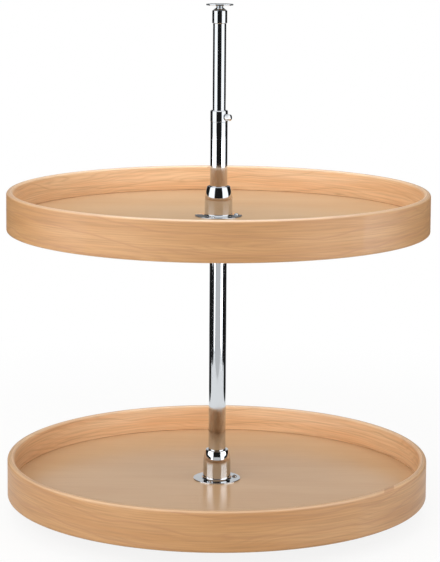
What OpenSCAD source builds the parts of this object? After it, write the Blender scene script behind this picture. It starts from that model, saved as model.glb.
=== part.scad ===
// Two-tier round turntable for a kitchen corner cabinet.
// Two bent-wood trays turn by themselves on a telescoping pole, which stands between
// the cabinet's floor and its ceiling. The origin is on the cabinet floor, on the pole's axis.

/* [Trays] */
// Outer diameter of each tray
tray_d = 609.6; // [400:0.1:720]
// Height of the bent rim
rim_h = 56.5; // [44:0.1:80]
// Thickness of the bent rim
rim_t = 10; // [10:0.5:14]
// Radius of the rim's rounded top edges
rim_round = 4.5; // [1:0.5:4.5]
// Thickness of the plywood floor
floor_t = 15; // [9:0.5:15]
// Height of the floor's underside above the rim's lower edge
floor_lift = 3.5; // [3:0.5:8]
// Depth of the groove in the rim that holds the floor
groove_depth = 4; // [3:0.5:5]
// Height of the lower tray above the cabinet floor
lower_tray_z = 28; // [28:1:60]
// Distance from the lower tray up to the upper tray
tray_pitch = 387.5; // [300:0.5:400]

/* [Hubs] */
// Diameter of the hub's flange
flange_d = 69; // [62:0.5:80]
// Thickness of the hub's flange
flange_t = 1.6; // [1.6:0.1:4]
// Diameter of the hub's straight part
hub_d = 40.2; // [39:0.1:44]
// Height of the straight part above the tray floor
hub_straight_h = 23; // [16:1:28]
// Height of the whole hub above the tray floor
hub_h = 44; // [42:1:52]
// How far the domed shoulder leans in at its top, in degrees
dome_lean = 19; // [10:1:22]
// Number of screws through the flange
screw_count = 3; // [3:1:6]
// Direction of the first screw, in degrees from +X
screw_turn = 10; // [0:1:90]

/* [Pole] */
// Outer diameter of the lower tube
tube_d = 25; // [25:0.1:25.4]
// Wall of both tubes
tube_wall = 1.2; // [1:0.1:1.5]
// Outer diameter of the inner tube
mast_d = 19; // [18:0.1:19.2]
// Length of the inner tube
mast_length = 300; // [250:5:340]
// Height of the collar's top edge above the cabinet floor
collar_top_z = 587.6; // [565:0.1:600]
// Height of the collar
collar_h = 16.4; // [14:0.1:20]
// Height of the pole as it is set, to the top plate's upper face
pole_h = 740; // [700:1:760]
// Direction of the lock screw, in degrees from +X
lock_turn = -40; // [-90:5:90]

/* [Fastening to the cabinet] */
// Diameter of the base plate
base_d = 96; // [90:1:120]
// Thickness of the base plate
base_t = 3; // [3:0.5:4]
// Bolt circle of the base plate
base_pcd = 74; // [66:1:76]
// Number of holes in the base plate
base_holes = 4; // [3:1:6]
// Diameter of the top plate
top_d = 38.8; // [38:0.1:50]
// Thickness of the top plate
top_t = 2.2; // [2:0.1:3]
// Bolt circle of the top plate
top_pcd = 28.6; // [28:0.1:30]
// Number of holes in the top plate
top_holes = 3; // [3:1:4]

/* [Hidden] */
$fn = 96;

chrome = "#CDD2D6";
maple = "#D8AD7C";
maple_floor = "#C9A983";
nylon = "#ECE9E0";
zinc = "#AEB3B7";

// gap on each side where one piece turns or slides on another
run = 0.05;
// gap on each side where two pieces only pass each other
clear = 0.3;

// trays
tray_r = tray_d / 2;
rim_foot_round = 2.5;
rim_facets = 240;
floor_edge_gap = 0.3;
floor_r = tray_r - rim_t + groove_depth - floor_edge_gap;
floor_top = floor_lift + floor_t;
upper_tray_z = lower_tray_z + tray_pitch;

// tubes
tube_r = tube_d / 2;
tube_bore_r = tube_r - tube_wall;
mast_r = mast_d / 2;
mast_bore_r = mast_r - tube_wall;

// hub and its bush
bush_wall = 3.95;
bush_r = tube_r + run + bush_wall;
bush_flange_r = 22;
bush_flange_t = 2;
bush_top = hub_h - 7;
hub_r = hub_d / 2;
hub_edge = 1.2;
dome_r = (hub_h - hub_straight_h - hub_edge) / sin(dome_lean) + hub_edge;
foot_fillet = 3;
flange_round = 0.7;
screw_ring_r = 26.3;
screw_shank_r = 1.9;
screw_hole_r = 2.25;
screw_head_r = 3.6;
screw_head_h = 2.3;
screw_depth = 9;

// stop collar and thrust washer under each tray
washer_t = floor_lift - bush_flange_t;
stop_r = 19;
stop_h = 10;
stop_edge = 0.8;
grub_r = 2.5;
grub_key_r = 1.45;
grub_key_depth = 2.5;

// base
socket_floor_z = 5;
socket_top_z = 16;
socket_r = 16.5;
socket_tenon_r = 9;
socket_screw_z = 11;
base_hole_r = 2.6;
base_sink_r = 4.8;
base_edge = 0.8;

// collar and lock screw
collar_r = tube_r + 0.3;
collar_z = collar_top_z - collar_h;
collar_edge = 1.2;
collar_foot_edge = 0.5;
spigot_h = 14;
lock_z = collar_z + 6.8;
lock_shank_r = 2.45;
lock_hole_r = 2.5;
lock_head_in = 13.6;
lock_head_out = 21.8;
lock_head_r = 4.7;
lock_head_edge = 0.6;
lock_head_dome_h = 1.4;
lock_dome_r = (lock_head_r * lock_head_r + lock_head_dome_h * lock_head_dome_h) / (2 * lock_head_dome_h);
knurl_count = 24;
knurl_r = 0.35;

// pole head
plate_z = pole_h - top_t;
neck_h = 2.7;
neck_flare = 4.4;
neck_waist_r = 4.8;
neck_z = plate_z - neck_h;
cap_r = mast_r + 1.3;
cap_top_z = neck_z - 0.1;
cap_cone_h = 4.8;
cap_foot_z = cap_top_z - 23;
cap_foot_edge = 1.3;
cap_seat_z = cap_top_z - 8;
pin_r = 3;
pin_length = 21;
pin_head_r = 4.2;
pin_head_h = 0.9;
top_hole_r = 2.1;
mast_foot_z = cap_seat_z - mast_length;
guide_head_h = 6;
guide_spigot_h = 10;
guide_edge = 1;

// Points along a circular arc from angle a0 to angle a1.
function arc(centre, r, a0, a1, steps = 8) =
    [for (i = [0:steps]) let (a = a0 + (a1 - a0) * i / steps) centre + r * [cos(a), sin(a)]];

// Points along the quarter ellipse of the trumpet neck, from its waist up to the plate.
function trumpet(steps = 12) =
    [for (i = [0:steps]) let (a = 90 * i / steps)
        [neck_waist_r + neck_flare * (1 - cos(a)), neck_z + neck_h * sin(a)]];

// A ring of rectangular section, with all four edges broken by the same chamfer.
module ring(r_in, r_out, z, h, edge = 0) {
    rotate_extrude()
        polygon([[r_in + edge, z], [r_out - edge, z], [r_out, z + edge], [r_out, z + h - edge],
            [r_out - edge, z + h], [r_in + edge, z + h], [r_in, z + h - edge], [r_in, z + edge]]);
}

// Copies its children onto a circle of holes.
module on_circle(r, count, turn = 0) {
    for (i = [0:count - 1])
        rotate(turn + i * 360 / count)
            translate([r, 0, 0])
                children();
}

// A rod along the direction "turn", level, from radius r0 to radius r1.
module radial_rod(turn, z, r, r0, r1) {
    rotate(turn)
        translate([r0, 0, z])
            rotate([0, 90, 0])
                cylinder(r = r, h = r1 - r0);
}

// A grub screw along the direction "turn", with a hexagon socket in its outer end.
module grub_screw(turn, z, r0, r1) {
    difference() {
        radial_rod(turn, z, grub_r, r0, r1);
        rotate(turn)
            translate([r1 - grub_key_depth, 0, z])
                rotate([0, 90, 0])
                    cylinder(r = grub_key_r, h = grub_key_depth + 1, $fn = 6);
    }
}

// Bent rim: rounded top edges, small foot rounding, and the groove that holds the floor.
module rim(z) {
    r_in = tray_r - rim_t;
    groove_r = r_in + groove_depth;
    section = concat(
        arc([tray_r - rim_foot_round, rim_foot_round], rim_foot_round, -90, 0, 4),
        arc([tray_r - rim_round, rim_h - rim_round], rim_round, 0, 90),
        arc([r_in + rim_round, rim_h - rim_round], rim_round, 90, 180),
        [[r_in, floor_top], [groove_r, floor_top], [groove_r, floor_lift], [r_in, floor_lift]],
        arc([r_in + rim_foot_round, rim_foot_round], rim_foot_round, 180, 270, 4));
    color(maple)
        translate([0, 0, z])
            rotate_extrude($fn = rim_facets)
                polygon(section);
}

// Plywood floor with the hole for the bush and pilot holes for the hub's screws.
module tray_floor(z) {
    color(maple_floor)
        translate([0, 0, z])
            difference() {
                translate([0, 0, floor_lift])
                    cylinder(r = floor_r, h = floor_t, $fn = rim_facets);
                translate([0, 0, floor_lift - 1])
                    cylinder(r = bush_r, h = floor_t + 2);
                on_circle(screw_ring_r, screw_count, screw_turn)
                    translate([0, 0, floor_top - screw_depth])
                        cylinder(r = screw_shank_r, h = screw_depth + 1, $fn = 32);
            }
}

// Hub: flange, fillet, straight part, domed shoulder and the lip that closes on the tube.
module hub(z) {
    dome_centre = [hub_r - dome_r, hub_straight_h];
    lip_centre = dome_centre + (dome_r - hub_edge) * [cos(dome_lean), sin(dome_lean)];
    lip_r = tube_r + clear;
    section = concat(
        [[bush_r, 0], [flange_d / 2, 0]],
        arc([flange_d / 2 - flange_round, flange_t - flange_round], flange_round, 0, 90, 6),
        arc([hub_r + foot_fillet, flange_t + foot_fillet], foot_fillet, 270, 180),
        arc(dome_centre, dome_r, 0, dome_lean, 16),
        arc(lip_centre, hub_edge, dome_lean, 90, 6),
        [[lip_r + 0.5, hub_h], [lip_r, hub_h - 0.5], [lip_r, bush_top], [bush_r, bush_top]]);
    color(chrome)
        translate([0, 0, z + floor_top])
            difference() {
                rotate_extrude()
                    polygon(section);
                on_circle(screw_ring_r, screw_count, screw_turn)
                    translate([0, 0, -1])
                        cylinder(r = screw_hole_r, h = flange_t + 2, $fn = 32);
            }
}

// Nylon bush: a sleeve that runs on the tube, and a flange that the tray's weight rests on.
module hub_bush(z) {
    color(nylon)
        translate([0, 0, z])
            rotate_extrude()
                polygon([[tube_r + run, washer_t], [bush_flange_r, washer_t],
                    [bush_flange_r, floor_lift], [bush_r, floor_lift],
                    [bush_r, floor_top + bush_top], [tube_r + run, floor_top + bush_top]]);
}

// Round-head wood screws with a cross recess, one for each hole in the flange.
module hub_screws(z) {
    dome = arc([0, 0], 1, 0, 90, 8);
    color(chrome)
        on_circle(screw_ring_r, screw_count, screw_turn)
            translate([0, 0, z + floor_top])
                difference() {
                    rotate_extrude($fn = 32)
                        polygon(concat([[0, -screw_depth], [screw_shank_r, 1.5 - screw_depth],
                            [screw_shank_r, flange_t]],
                            [for (p = dome) [p[0] * screw_head_r, flange_t + p[1] * screw_head_h]]));
                    for (a = [0, 90])
                        rotate(a)
                            translate([-1.8, -0.4, flange_t + 1.1])
                                cube([3.6, 0.8, 3]);
                }
}

// Clamp collar that sets the tray's height on the tube.
module stop_collar(z) {
    color(zinc)
        difference() {
            ring(tube_r + run, stop_r, z - stop_h, stop_h, stop_edge);
            radial_rod(90, z - stop_h / 2, grub_r, 0, stop_r + 1);
        }
}

// Grub screw of the stop collar.
module stop_screw(z) {
    color(zinc)
        grub_screw(90, z - stop_h / 2, tube_r + run, stop_r - 0.6);
}

// Slippery washer between the stop collar and the bush's flange.
module thrust_washer(z) {
    color(nylon)
        ring(tube_r + clear, stop_r, z, washer_t);
}

// Round base plate with countersunk holes for the cabinet's floor.
module base_plate() {
    color(zinc)
        difference() {
            rotate_extrude()
                polygon([[socket_tenon_r, 0], [base_d / 2, 0], [base_d / 2, base_t - base_edge],
                    [base_d / 2 - base_edge, base_t], [socket_tenon_r, base_t]]);
            on_circle(base_pcd / 2, base_holes, 45) {
                translate([0, 0, -1])
                    cylinder(r = base_hole_r, h = base_t + 2);
                translate([0, 0, base_t - (base_sink_r - base_hole_r)])
                    cylinder(r1 = base_hole_r, r2 = base_sink_r, h = base_sink_r - base_hole_r);
            }
        }
}

// Turned cup on the base plate, riveted through its middle, that takes the tube's lower end.
module base_socket() {
    color(zinc)
        difference() {
            rotate_extrude()
                polygon(concat([[0, 0.4], [socket_tenon_r, 0.4], [socket_tenon_r, base_t]],
                    [[socket_r + 2, base_t]],
                    arc([socket_r + 2, base_t + 2], 2, 270, 180, 6),
                    [[socket_r, socket_top_z - 1], [socket_r - 1, socket_top_z],
                    [tube_r, socket_top_z], [tube_r, socket_floor_z], [0, socket_floor_z]]));
            radial_rod(90, socket_screw_z, grub_r, 0, socket_r + 1);
        }
}

// Grub screw that holds the tube in the cup.
module base_set_screw() {
    color(zinc)
        grub_screw(90, socket_screw_z, tube_r, socket_r - 0.4);
}

// Lower tube, on which both trays turn.
module lower_tube() {
    color(chrome)
        ring(tube_bore_r, tube_r, socket_floor_z, collar_z - socket_floor_z, 0.3);
}

// Collar on the tube's upper end: a spigot pressed into the tube and a bore for the inner tube.
module tube_collar() {
    color(chrome)
        difference() {
            rotate_extrude()
                polygon([[mast_r + run, collar_z - spigot_h], [tube_bore_r, collar_z - spigot_h],
                    [tube_bore_r, collar_z], [collar_r - collar_foot_edge, collar_z],
                    [collar_r, collar_z + collar_foot_edge], [collar_r, collar_top_z - collar_edge],
                    [collar_r - collar_edge, collar_top_z], [mast_r + run + 0.4, collar_top_z],
                    [mast_r + run, collar_top_z - 0.4]]);
            radial_rod(lock_turn, lock_z, lock_hole_r, 0, collar_r + 1);
        }
}

// Thumb screw with a knurled, domed head, which locks the inner tube.
module lock_screw() {
    tip = mast_r + 2 * run;
    color(chrome)
        rotate(lock_turn)
            translate([0, 0, lock_z])
                rotate([0, 90, 0])
                    difference() {
                        rotate_extrude()
                            polygon(concat([[0, tip], [lock_shank_r - 0.6, tip],
                                [lock_shank_r, tip + 0.6], [lock_shank_r, lock_head_in],
                                [lock_head_r - lock_head_edge, lock_head_in],
                                [lock_head_r, lock_head_in + lock_head_edge]],
                                arc([0, lock_head_out - lock_dome_r], lock_dome_r,
                                    acos(lock_head_r / lock_dome_r), 90)));
                        on_circle(lock_head_r, knurl_count)
                            translate([0, 0, lock_head_in - 1])
                                cylinder(r = knurl_r, h = lock_head_out - lock_head_in + 2, $fn = 16);
                    }
}

// Inner tube that slides up and down in the lower one.
module inner_tube() {
    color(chrome)
        ring(mast_bore_r, mast_r, mast_foot_z, mast_length, 0.3);
}

// Nylon plug that guides the inner tube's foot in the lower tube.
module tube_guide() {
    head_r = tube_bore_r - run;
    z = mast_foot_z;
    color(nylon)
        rotate_extrude()
            polygon([[0, z - guide_head_h], [head_r - guide_edge, z - guide_head_h],
                [head_r, z - guide_head_h + guide_edge], [head_r, z], [mast_bore_r, z],
                [mast_bore_r, z + guide_spigot_h], [0, z + guide_spigot_h]]);
}

// Cap on the inner tube: sleeve, conical shoulder and the bore for the pivot pin.
module pole_cap() {
    color(chrome)
        rotate_extrude()
            polygon([[mast_r, cap_foot_z], [cap_r, cap_foot_z + cap_foot_edge],
                [cap_r, cap_top_z - cap_cone_h], [neck_waist_r, cap_top_z], [pin_r + run, cap_top_z],
                [pin_r + run, cap_seat_z - 3], [mast_bore_r - 1, cap_seat_z - 3],
                [mast_bore_r - 1, cap_seat_z], [mast_r, cap_seat_z]]);
}

// Top plate with its trumpet neck, holes for the cabinet's ceiling and a seat for the pin's head.
module top_plate() {
    color(chrome)
        difference() {
            rotate_extrude()
                polygon(concat([[pin_r, neck_z]], trumpet(),
                    [[top_d / 2 - 0.5, plate_z], [top_d / 2, plate_z + 0.5],
                    [top_d / 2, pole_h - 0.5], [top_d / 2 - 0.5, pole_h],
                    [pin_head_r, pole_h], [pin_r, pole_h - pin_head_h]]));
            on_circle(top_pcd / 2, top_holes, 90)
                translate([0, 0, plate_z - 1])
                    cylinder(r = top_hole_r, h = top_t + 2);
        }
}

// Pivot pin: flush head in the plate, shank down into the cap.
module pivot_pin() {
    foot = pole_h - pin_length;
    color(zinc)
        rotate_extrude()
            polygon([[0, foot], [pin_r - 0.6, foot], [pin_r, foot + 0.6],
                [pin_r, pole_h - pin_head_h], [pin_head_r, pole_h], [0, pole_h]]);
}

module lower_rim() { rim(lower_tray_z); }
module upper_rim() { rim(upper_tray_z); }
module lower_floor() { tray_floor(lower_tray_z); }
module upper_floor() { tray_floor(upper_tray_z); }
module lower_hub() { hub(lower_tray_z); }
module upper_hub() { hub(upper_tray_z); }
module lower_hub_bush() { hub_bush(lower_tray_z); }
module upper_hub_bush() { hub_bush(upper_tray_z); }
module lower_hub_screws() { hub_screws(lower_tray_z); }
module upper_hub_screws() { hub_screws(upper_tray_z); }
module lower_stop_collar() { stop_collar(lower_tray_z); }
module upper_stop_collar() { stop_collar(upper_tray_z); }
module lower_stop_screw() { stop_screw(lower_tray_z); }
module upper_stop_screw() { stop_screw(upper_tray_z); }
module lower_thrust_washer() { thrust_washer(lower_tray_z); }
module upper_thrust_washer() { thrust_washer(upper_tray_z); }

base_plate();
base_socket();
base_set_screw();
lower_tube();
tube_collar();
lock_screw();
lower_stop_collar();
lower_stop_screw();
lower_thrust_washer();
lower_floor();
lower_rim();
lower_hub();
lower_hub_bush();
lower_hub_screws();
upper_stop_collar();
upper_stop_screw();
upper_thrust_washer();
upper_floor();
upper_rim();
upper_hub();
upper_hub_bush();
upper_hub_screws();
inner_tube();
tube_guide();
pole_cap();
top_plate();
pivot_pin();
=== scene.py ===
"""Dresses a packed two-tier corner-cabinet turntable in maple and chrome, and sets it in a plain studio."""
import math

import bpy
from bpy.props import FloatProperty, FloatVectorProperty, IntProperty, PointerProperty
from mathutils import Matrix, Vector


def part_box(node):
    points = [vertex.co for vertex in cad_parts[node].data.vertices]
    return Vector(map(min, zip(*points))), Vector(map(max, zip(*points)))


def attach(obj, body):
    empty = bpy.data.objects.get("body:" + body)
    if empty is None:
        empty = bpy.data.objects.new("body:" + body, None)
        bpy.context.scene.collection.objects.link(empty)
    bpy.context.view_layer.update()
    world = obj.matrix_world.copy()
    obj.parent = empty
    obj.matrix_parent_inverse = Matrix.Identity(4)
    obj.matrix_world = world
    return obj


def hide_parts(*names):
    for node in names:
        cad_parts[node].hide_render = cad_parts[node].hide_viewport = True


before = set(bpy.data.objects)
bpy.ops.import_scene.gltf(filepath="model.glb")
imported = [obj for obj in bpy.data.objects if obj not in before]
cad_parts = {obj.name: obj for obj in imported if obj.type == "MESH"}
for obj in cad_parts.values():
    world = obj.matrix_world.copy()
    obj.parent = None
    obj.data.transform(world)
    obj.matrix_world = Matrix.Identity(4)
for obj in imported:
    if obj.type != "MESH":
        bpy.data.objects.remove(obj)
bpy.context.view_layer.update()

bl_info = {
    "name": "Corner Turntable",
    "version": (1, 0, 0),
    "blender": (4, 5, 0),
    "location": "3D View > Sidebar > Turntable",
    "description": "Bent-maple trays, turned hubs and a telescoping pole over a packed frame, softly lit",
    "category": "Object",
}

MM = 0.001
WHITE = (1.0, 1.0, 1.0, 1.0)
TRAYS = ("lower", "upper")
rim_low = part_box("lower_rim")[0]
floor_low, floor_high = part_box("lower_floor")
tube_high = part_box("lower_tube")[1]
mast_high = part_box("inner_tube")[1]

# Turned parts: faces round them, and the angle above which an edge stays sharp.
HUB_SEGMENTS = 160
POLE_SEGMENTS = 128
SHARP_ANGLE = math.radians(28)
# Small sizes inside the turned parts, which no user would change.
RUNNING_GAP = 0.05 * MM       # on each side of a pin or tube that moves in a bore
HUB_BORE_EDGE = 0.5 * MM      # chamfer at the top of the hub's opening
COLLAR_BORE_EDGE = 0.4 * MM   # chamfer at the top of the collar's bore
CAP_SEAT = 8 * MM             # height of the cap above the end of the inner tube
CAP_PLUG = 3 * MM             # length of the cap's plug inside the inner tube
CAP_PLUG_GAP = 1 * MM         # between the plug and the bore of the inner tube

# Bent maple: each pattern's noise cells per metre along the hoop, through its wall and up its face.
RING_CELLS = (3.4, 60.0, 21.0)
FIBRE_CELLS = (9.0, 200.0, 380.0)
BAND_CELLS = (5.0, 30.0, 62.0)
SWAY_CELLS = (9.0, 20.0, 12.0)
RINGS_PER_METRE = 220.0
RING_WANDER = 13.0            # how many rings the slow wander of the cut runs through
RING_INSIDE = 0.5             # strength of the rings on the inner veneer, against 1 outside
LONG_LINES_PER_METRE = 40.0
LONG_LINE_SWING = 0.56        # of the space between two long lines: 14 mm
LONG_LINE_LIFT = 0.1          # of that space: 2.5 mm
LONG_LINE_TURN = math.radians(38)   # sets where round the hoop they rise and fall
LONG_LINE_OUTSIDE = 0.75      # strength on the outer veneer
LONG_LINE_INSIDE = 0.30       # strength on the inner veneer
PLIES = 4
GLUE_HALF_WIDTH = 0.12 * MM
OUTER_VENEER = 6 * MM         # how far in from the outer face the outer veneer's colour goes
EDGE_HIGHLIGHT_START = 0.3              # upward part of the normal at which the painted highlight on an edge starts
EDGE_FULL = 0.8               # and that from which the painted highlight is full and the glue lines show
EDGE_HIGHLIGHT_STRENGTH = 0.36          # strength of the painted highlight on the edges, partly the sanded plies' own paler tone
GLUE_STRENGTH = 0.45
LAP_HALF_LENGTH = 12 * MM
LAP_MIDDLE = 7 * MM
LAP_SLANT = 1.4               # how far the lap's ends run on for each unit of depth
LAP_EDGE = 0.25               # upward part of the normal from which the lap shows
LAP_STRENGTH = 0.6
STREAK_CELLS = (52.0, 52.0, 330.0)
UPPER_STREAK = (0.186, 0.229, 0.4365)   # middle of the streak, on the upper rim's inner face

# Studio, in metres, and in degrees where a value is an azimuth, a reach or a tilt. The azimuth counts from
# the camera's side, and the reach is half of the angle that a panel takes up as seen from the pole.
SENSOR_WIDTH = 36.0           # in millimetres
CAMERA_CLIP = 60.0
TABLE_SIZE = 24.0
TABLE_NEAR, TABLE_FAR = 0.5, 1.3
SIDE_AZIMUTH = 63
SIDE_REACH = 27
DARK_SCREEN = 0.014           # radiance
FRONT_BOX_SIZE = (2.0, 1.4)
FRONT_BOX_AZIMUTH = -14
FRONT_BOX_DISTANCE = 2.4
FRONT_BOX_HEIGHT = 1.15
FRONT_BOX_TILT = 68
TOP_BOX_SIZE = (2.4, 2.4)
TOP_BOX_PLACE = (0.0, 0.6, 2.6)


def linear(hex_colour):
    """The linear RGBA of an sRGB hex colour."""
    channels = [int(hex_colour[i:i + 2], 16) / 255 for i in (1, 3, 5)]
    return tuple(c / 12.92 if c <= 0.04045 else ((c + 0.055) / 1.055) ** 2.4 for c in channels) + (1.0,)


def length(name, description, default):
    """A length that a user can change, in metres."""
    return FloatProperty(name=name, description=description, default=default, min=0.0,
                         precision=5, unit="LENGTH", subtype="DISTANCE")


def radiance(name, description, default):
    """A radiance that a user can change, where 1 is the white of the background."""
    return FloatProperty(name=name, description="Radiance: " + description, default=default, min=0.0)


def colour(name, description, hex_colour):
    """A colour that a user can change."""
    return FloatVectorProperty(name=name, description=description, default=linear(hex_colour),
                               size=4, min=0.0, max=1.0, subtype="COLOR")


class TraySettings(bpy.types.PropertyGroup):
    """Sizes of the bent rims."""
    wall: length("Rim thickness", "Thickness of the bent rim", 10 * MM)
    top_round: length("Top round", "Radius of the rim's rounded top edges", 4.5 * MM)
    foot_round: length("Foot round", "Radius of the rim's lower edges", 2.5 * MM)
    groove: length("Groove depth", "How far the floor goes into the rim", 4 * MM)
    floor_lift: length("Floor lift", "Height of the floor's underside above the rim's lower edge",
                       floor_low.z - rim_low.z)
    floor_thickness: length("Floor thickness", "Thickness of the plywood floor", floor_high.z - floor_low.z)
    shadow_gap: length("Shadow gap", "Open joint between the floor and the rim's inner face", 0.3 * MM)
    lower_joint: FloatProperty(name="Lower joint", description="Direction of the lower rim's glued lap",
                               default=math.radians(-37.7), subtype="ANGLE", unit="ROTATION")
    upper_joint: FloatProperty(name="Upper joint", description="Direction of the upper rim's glued lap",
                               default=math.radians(90), subtype="ANGLE", unit="ROTATION")
    segments: IntProperty(name="Segments", description="Faces round the rim", default=360, min=48, max=720)


class HubSettings(bpy.types.PropertyGroup):
    """Sizes of the turned hubs."""
    bore: length("Bush bore", "Radius of the seat for the bush", 16.5 * MM)
    flange: length("Flange thickness", "Thickness of the screwed flange", 1.6 * MM)
    flange_round: length("Flange round", "Radius of the flange's upper edge", 0.7 * MM)
    waist: length("Waist radius", "Radius of the straight part", 20.1 * MM)
    fillet: length("Foot fillet", "Radius of the fillet between flange and waist", 3 * MM)
    shoulder: length("Shoulder height", "Height above the floor where the dome starts", 23 * MM)
    lip: length("Lip radius", "Radius of the opening at the top", 12.8 * MM)
    lip_round: length("Lip round", "Radius of the dome's top edge", 1.2 * MM)
    bore_top: length("Bore height", "Height of the seat for the bush", 37 * MM)
    lean: FloatProperty(name="Dome lean", description="How far the dome leans in at its top",
                        default=math.radians(19), subtype="ANGLE", unit="ROTATION")


class PoleSettings(bpy.types.PropertyGroup):
    """Sizes of the telescoping pole, its collar and its cap."""
    wall: length("Tube wall", "Wall of both tubes", 1.2 * MM)
    tube_edge: length("Tube edge", "Chamfer on the tubes' ends", 0.3 * MM)
    collar_top_edge: length("Collar top edge", "Chamfer on the collar's top", 1.2 * MM)
    collar_foot_edge: length("Collar foot edge", "Chamfer on the collar's foot", 0.5 * MM)
    collar_height: length("Collar height", "Height of the part of the collar that shows", 16.4 * MM)
    cap_foot_edge: length("Cap foot edge", "Chamfer on the cap's foot", 0.8 * MM)
    cap_cone: length("Cap cone", "Height of the cap's conical shoulder", 4.8 * MM)
    neck_waist: length("Neck waist", "Radius of the cap's top, just below the top plate's neck",
                       4.8 * MM)
    pin: length("Pin radius", "Radius of the pivot pin", 3 * MM)


class FinishSettings(bpy.types.PropertyGroup):
    """Colours of the finishes."""
    rim_light: colour("Rim, light", "Pale bands of the rims' outer veneer", "#C69662")
    rim_warm: colour("Rim, warm", "Redder bands of the rims' outer veneer", "#B78450")
    # Inner veneer: partly its own paler tone, partly painted light for the brighter light and sheen inside
    # the tray.
    inner_pale_and_lit: colour("Rim inside, light", "Pale bands of the rims' inner veneer", "#EEC597")
    inner_warm_and_lit: colour("Rim inside, warm", "Redder bands of the rims' inner veneer", "#E3B07E")
    # Painted highlight on the rims' rounded edges, partly the sanded plies' paler tone.
    rim_edge_highlight: colour("Rim, edges", "Sanded edges of the bent plies, paler than their faces", "#F3D6B2")
    rim_line: colour("Rim, lines", "Latewood lines of the bent maple", "#AE7C52")
    floor_light: colour("Floor, light", "Pale bands of the floor's veneer", "#DAB78F")
    floor_warm: colour("Floor, warm", "Warmer bands of the floor's veneer", "#D3AE85")
    mineral: colour("Mineral streak", "Grey-brown mineral streak in the maple", "#8E6239")
    glue: colour("Glue line", "Line between the bent plies", "#8A5E38")
    chrome: colour("Chrome", "Bright chrome plate", "#D2D6DA")
    # Darker grey of the plate's level faces: partly a duller finish, partly painted shade and dark
    # reflection.
    plate_grey_and_shade: colour("Top plate", "Flat faces of the stamped top plate", "#85898C")
    zinc: colour("Zinc", "Zinc-plated steel", "#B9BDBF")
    nylon: colour("Nylon", "Natural nylon", "#ECE8DC")
    table: colour("Studio table", "Table, as it is seen", "#F4F4F2")
    table_bounce: colour("Table bounce", "Table, as it throws light up at the trays", "#A0A09E")


class StudioSettings(bpy.types.PropertyGroup):
    """Camera and lights."""
    camera_distance: length("Camera distance", "Level distance from the pole to the camera", 2.9913)
    camera_height: length("Camera height", "Height of the camera", 0.8642)
    lens: FloatProperty(name="Lens", description="Focal length", default=134.040, min=10.0,
                        unit="CAMERA", subtype="DISTANCE_CAMERA")
    pitch: FloatProperty(name="Pitch", description="How far the camera looks down",
                         default=math.radians(6.4421), subtype="ANGLE", unit="ROTATION")
    roll: FloatProperty(name="Roll", description="Turn of the camera about its own axis",
                        default=math.radians(0.37), subtype="ANGLE", unit="ROTATION")
    shift_x: FloatProperty(name="Shift sideways", description="Sideways shift of the view, by its width",
                           default=0.002)
    shift_y: FloatProperty(name="Shift upwards", description="Upward shift of the view, by its width",
                           default=-0.22865, precision=5)
    ring: length("Ring of screens", "Distance from the pole to the softboxes and the dark screens", 1.12)
    screen_height: length("Screen height", "Height of the softboxes and the dark screens", 1.25)
    side_light: radiance("Side light", "Side softboxes on matt surfaces", 1.35)
    side_sheen: radiance("Side sheen", "Side softboxes in satin surfaces", 9.5)
    side_balance: FloatProperty(name="Side balance", default=0.07, subtype="FACTOR", min=-1.0, max=1.0,
                                description="How much brighter the left softbox is, and darker the right one")
    low_mirror: radiance("Low side mirror", "Lower part of the side softboxes in bright metal", 3.6)
    high_mirror: radiance("High side mirror", "Upper part of the side softboxes in bright metal", 1.5)
    mirror_split: length("Mirror split", "Height at which the side softboxes' reflections change", 0.42)
    front_light: radiance("Front light", "Softbox round the camera, on matt surfaces", 3.7)
    top_light: radiance("Top light", "Softbox overhead, on matt surfaces", 1.25)
    top_sheen: radiance("Top sheen", "Softbox overhead, in satin surfaces", 9.0)
    fill: radiance("Fill", "White room on matt surfaces", 0.45)
    back_grey: radiance("Back screen", "Lower part of the grey screen behind, in glossy surfaces", 0.7)
    back_shade: radiance("Back shade", "Upper part of the grey screen behind, in glossy surfaces", 0.18)
    back_split: length("Back split", "Height at which the screen behind turns darker", 0.5)
    front_grey: radiance("Front strip", "Grey strip under the front screen, in glossy surfaces", 0.68)
    screen_lift: length("Screen lift", "Height of the front screen's foot, and of the strip below it", 0.23)
    skirt: length("Skirt height", "Height of the dark strips in front of the side softboxes", 0.2)
    table_glow: FloatProperty(name="Table glow", description="How far the table is lifted to pure white",
                              default=0.86, subtype="FACTOR", min=0.0, max=1.0)


def add_node(tree, kind, inputs=None, stops=None, **settings):
    """Adds a node with its settings, its inputs' values or links, and a colour ramp's stops."""
    node = tree.nodes.new(kind)
    node.location = (len(tree.nodes) % 8 * 220, -(len(tree.nodes) // 8) * 320)
    for name, value in settings.items():
        setattr(node, name, value)
    for key, value in (inputs or {}).items():
        if isinstance(value, bpy.types.NodeSocket):
            tree.links.new(value, node.inputs[key])
        else:
            node.inputs[key].default_value = value
    for i, (position, stop_colour) in enumerate(stops or []):
        element = node.color_ramp.elements[i] if i < 2 else node.color_ramp.elements.new(position)
        element.position, element.color = position, stop_colour
    return node


def new_material(name):
    """An empty material: its node tree and the material."""
    material = bpy.data.materials.new(name)
    material.use_nodes = True
    material.node_tree.nodes.clear()
    return material.node_tree, material


def grey(value):
    """A grey as RGBA, for ramps that drive a factor."""
    return (value, value, value, 1.0)


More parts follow.
